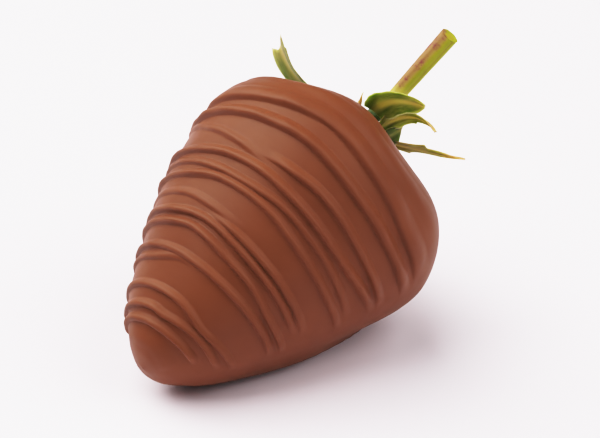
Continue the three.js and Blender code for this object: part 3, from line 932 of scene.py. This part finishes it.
def stem_material():
    """Paints by shares of the way along the stem and round it, and marks the cut."""
    clear_of_leaves = (0.3, 0.5)
    deep_root = (0.15, 0.25)
    root_paleness = 0.9
    rubbed_edge = (0.2, 0.85)
    fleck_edge = (0.5, 0.62)
    patch_size = 3 * MM
    fleck_size = 1.6 * MM
    material, tree, shader = new_material("Strawberry stem", {
        "Roughness": 0.5,
        "IOR": 1.42,
        "Specular IOR Level": 0.35,
        "Subsurface Weight": 0.25,
        "Subsurface Radius": (0.6, 1.0, 0.2),
        "Subsurface Scale": 0.6 * MM,
    })
    place = object_place(tree)
    along = attribute(tree, "along")
    off_side = calc(tree, "SUBTRACT", attribute(tree, "around"), DRY_SIDE)
    facing = calc(tree, "COSINE", calc(tree, "MULTIPLY", off_side, math.tau))
    rubbed = calc(tree, "MULTIPLY", ramp(tree, facing, *rubbed_edge),
                  ramp(tree, along, *clear_of_leaves))
    patch = noise(tree, place, patch_size, 3.0, 0.6)["Fac"]
    fleck = noise(tree, place, fleck_size, 4.0, 0.7)["Fac"]
    flecked = ramp(tree, fleck, *fleck_edge, kind="LINEAR")
    colour = overlay(tree, blend(tree, patch, "#858A22", "#A8A62E"), (
        (ramp(tree, along, *clear_of_leaves, root_paleness, 0.0), "#C6B95A"),
        (ramp(tree, along, *deep_root, 1.0, 0.0), DEEP_GREEN),
        (rubbed, "#93703F"),
        (calc(tree, "MULTIPLY", flecked, rubbed), "#84493F"),
        (attribute(tree, "cut"), "#A0942F")))
    tree.links.new(colour, shader.inputs["Base Color"])
    return material


stem_green = stem_material()
print("material", stem_green.name)

# %% Path and tree of the stem
STEM_LENGTH = 18.0
STEM_LEAN = ((6, 27), (12, 13))  # degrees uphill and to the side, at its foot and beyond the bend
STEM_BEND = 0.3
STEM_REST = 0.9
STEM_SUNK = 1.0                  # how deep in the dome its path starts
STEM_STEPS = 40
CUT_TURN = [0.22, -0.22, 0.3]    # the last short step, which turns the cut to face it
FLARE_SHARE = 0.2                # of the length, from the foot's widening on to the cut's
CUT_RIM = 0.8                    # where the skin's rim ends, as a share of the radius
CUT_MIDDLE = 0.7                 # how much the sunk middle narrows
SIDES_OF_A_QUAD = 4
STEM = {
    "Radius": STEM_DIAMETER / 2, "Sides": 48, "Ribs": 7.0, "Rib Depth": 0.03,
    "Foot Flare": 0.1, "Cut Flare": 0.25, "Cut Depth": -0.15, "Green": stem_green,
}


def stem_path():
    """Points along the stem in the calyx frame, from inside the dome to the cut."""
    bent = smoothstep((np.arange(STEM_STEPS) + 0.5) / STEM_STEPS, 0, STEM_BEND)
    (uphill_0, side_0), (uphill_1, side_1) = STEM_LEAN
    uphill = np.radians(uphill_0 + (uphill_1 - uphill_0) * bent)
    side = np.radians(side_0 + (side_1 - side_0) * bent)
    steps = np.stack([np.sin(side), -np.sin(uphill) * np.cos(side),
                      np.cos(uphill) * np.cos(side)], axis=-1) * STEM_LENGTH / STEM_STEPS
    start = [0, 0, CALYX_HEIGHT + STEM_REST]
    inside = [0, 0, CALYX_HEIGHT - STEM_SUNK]
    line = start + np.cumsum(steps, axis=0)
    return np.vstack([inside, start, line, line[-1] + CUT_TURN])


def stem_tree():
    tree, given = new_tree("Ribbed stem", STEM)

    # The path, with its share of the length kept on it, and the widening at both ends
    line = geometry(tree, "MeshToCurve", {"Mesh": given["Geometry"]})[0]
    share = geometry(tree, "SplineParameter")["Factor"]
    flare = ramp(
        tree, share, 0.0, FLARE_SHARE, calc(tree, "ADD", given["Foot Flare"], 1.0), 1.0)
    opened = ramp(tree, share, FLARE_SHARE, 1.0, 1.0,
                  calc(tree, "ADD", given["Cut Flare"], 1.0), kind="LINEAR")

    # A ribbed circle, swept along the path
    circle = geometry(tree, "CurvePrimitiveCircle", {
        "Resolution": given["Sides"], "Radius": given["Radius"]})["Curve"]
    angle = calc(tree, "MULTIPLY", share, calc(tree, "MULTIPLY", given["Ribs"], math.tau))
    depth = calc(tree, "MULTIPLY_ADD", calc(tree, "SINE", angle), given["Rib Depth"], 1.0)
    position = geometry(tree, "InputPosition")[0]
    ribbed = geometry(tree, "SetPosition", {
        "Geometry": store(tree, circle, "around", share),
        "Position": vector(tree, "SCALE", position, depth)})[0]
    tube = geometry(tree, "CurveToMesh", {
        "Curve": store(tree, line, "along", share), "Profile Curve": ribbed,
        "Scale": calc(tree, "MULTIPLY", flare, opened), "Fill Caps": True})[0]

    # The two caps are the only faces with many corners. Each is stepped in, then sunk.
    cap = add_node(tree, "FunctionNodeCompare", {
        "A": geometry(tree, "InputMeshFaceNeighbors")["Vertex Count"], "B": SIDES_OF_A_QUAD},
        data_type="INT", operation="GREATER_THAN").outputs[0]
    rim = geometry(tree, "ExtrudeMesh", {"Mesh": tube, "Selection": cap, "Offset Scale": 0.0})
    inset = geometry(tree, "ScaleElements", {
        "Geometry": rim["Mesh"], "Selection": rim["Top"], "Scale": CUT_RIM})[0]
    sunk = geometry(tree, "ExtrudeMesh", {
        "Mesh": inset, "Selection": rim["Top"], "Offset Scale": given["Cut Depth"]})
    pith = geometry(tree, "ScaleElements", {
        "Geometry": sunk["Mesh"], "Selection": sunk["Top"], "Scale": CUT_MIDDLE})[0]
    cut = store(tree, pith, "cut", 1.0, chosen=sunk["Top"], domain="FACE")
    end_tree(tree, cut, given["Green"])
    return tree


stem = run_tree("stem_stalk", wire("stem_path", [stem_path()]), stem_tree(), STEM)
calyx_piece(stem, "stem")

# %% [markdown]
# ## Floor, light and camera
#
# The floor is a plain white board that ends far outside the view. Three large soft lights hang
# over the fruit: the strongest on the left, the weakest on the left and further back, and one on
# the right and a little in front. The pale room fills the shadows a little. The camera looks down
# from in front of the tip's right side, as the photograph was taken.

# %% Floor
def white_board():
    material = new_material("White board", {
        "Base Color": linear("#F6EBF2"), "Roughness": 0.7})[0]
    reach = 1500 * MM
    mesh = new_mesh("floor", [(-reach, -reach, 0), (reach, -reach, 0), (reach, reach, 0),
                              (-reach, reach, 0)], [(0, 1, 2, 3)])
    mesh.materials.append(material)
    return new_object("floor", mesh)


floor = white_board()
print("floor", tuple(floor.dimensions))

# %% Camera
IMAGE_WIDTH = 600
PHOTO_FOCAL = 900                # of the photograph, in its own pixels
SENSOR_WIDTH = 36
CLOSER = 2.05                    # how much larger the fruit is shown than in the photograph
CAMERA_PLACE = Vector((179.9, -184.3, 164.0)) * MM
AIM = Vector((-0.3, 1.5, 19.5)) * MM

camera_data = bpy.data.cameras.new("camera")
camera_data.sensor_width = SENSOR_WIDTH
camera_data.lens = SENSOR_WIDTH * PHOTO_FOCAL * CLOSER / IMAGE_WIDTH
camera = bpy.data.objects.new("camera", camera_data)
camera.location = CAMERA_PLACE
camera.rotation_euler = (AIM - CAMERA_PLACE).to_track_quat("-Z", "Y").to_euler()
bpy.context.scene.collection.objects.link(camera)
bpy.context.scene.camera = camera
print("lens", round(camera_data.lens, 1), "mm")

# %% Lights
LIGHT_DISTANCE = 1100 * MM
LIGHT_SIZE = 1100 * MM
ROOM_COLOUR = "#FBF8FB"
ROOM_STRENGTH = 0.03
sight = (AIM - CAMERA_PLACE).normalized()
to_right = sight.cross(UP).normalized()
away = UP.cross(to_right)
LIGHTS = {                       # the way to each from the fruit, and its watts
    "left": (UP - 0.47 * to_right, 20.0),
    "left rear": (0.8 * UP - 0.7 * to_right + 0.7 * away, 10.8),
    "right": (UP + to_right - 0.25 * away, 12.0),
}


def soft_light(name, direction, watts):
    light = bpy.data.lights.new(name, "AREA")
    light.size = LIGHT_SIZE
    light.energy = watts
    lamp = bpy.data.objects.new(name, light)
    lamp.location = AIM + direction.normalized() * LIGHT_DISTANCE
    lamp.rotation_euler = (-direction).to_track_quat("-Z", "Y").to_euler()
    bpy.context.scene.collection.objects.link(lamp)


for name, (direction, watts) in LIGHTS.items():
    soft_light(name, direction, watts)
world = bpy.data.worlds.new("pale room")
world.use_nodes = True
room = world.node_tree.nodes["Background"].inputs
room["Color"].default_value = linear(ROOM_COLOUR)
room["Strength"].default_value = ROOM_STRENGTH
bpy.context.scene.world = world
print(len(LIGHTS), "soft lights")

# %% [markdown]
# A camera darkens what is dim a little and rolls the brightest tones off before white. A curve
# over the picture does the same here: it maps the light of each pixel, up to the film's limit,
# to the share of white that is shown.

# %% Film response
FILM = [(0, 0), (0.1, 0.057), (0.2, 0.152), (0.35, 0.313), (0.55, 0.512), (0.8, 0.695),
        (1.1, 0.818), (1.5, 0.9), (2.2, 0.94)]
FILM_LIMIT, WHITEST = FILM[-1]
FILM_BLENDED = 3                 # the curve that acts on all three colours

look = bpy.context.scene.view_settings
look.view_transform = "Standard"
look.use_curve_mapping = True
film = look.curve_mapping
film.white_level = (FILM_LIMIT, FILM_LIMIT, FILM_LIMIT)
response = film.curves[FILM_BLENDED]
response.points[0].location = FILM[0]
response.points[1].location = (1.0, WHITEST)
for light, shown in FILM[1:-1]:
    response.points.new(light / FILM_LIMIT, shown)
film.update()
print("white shows as", WHITEST)
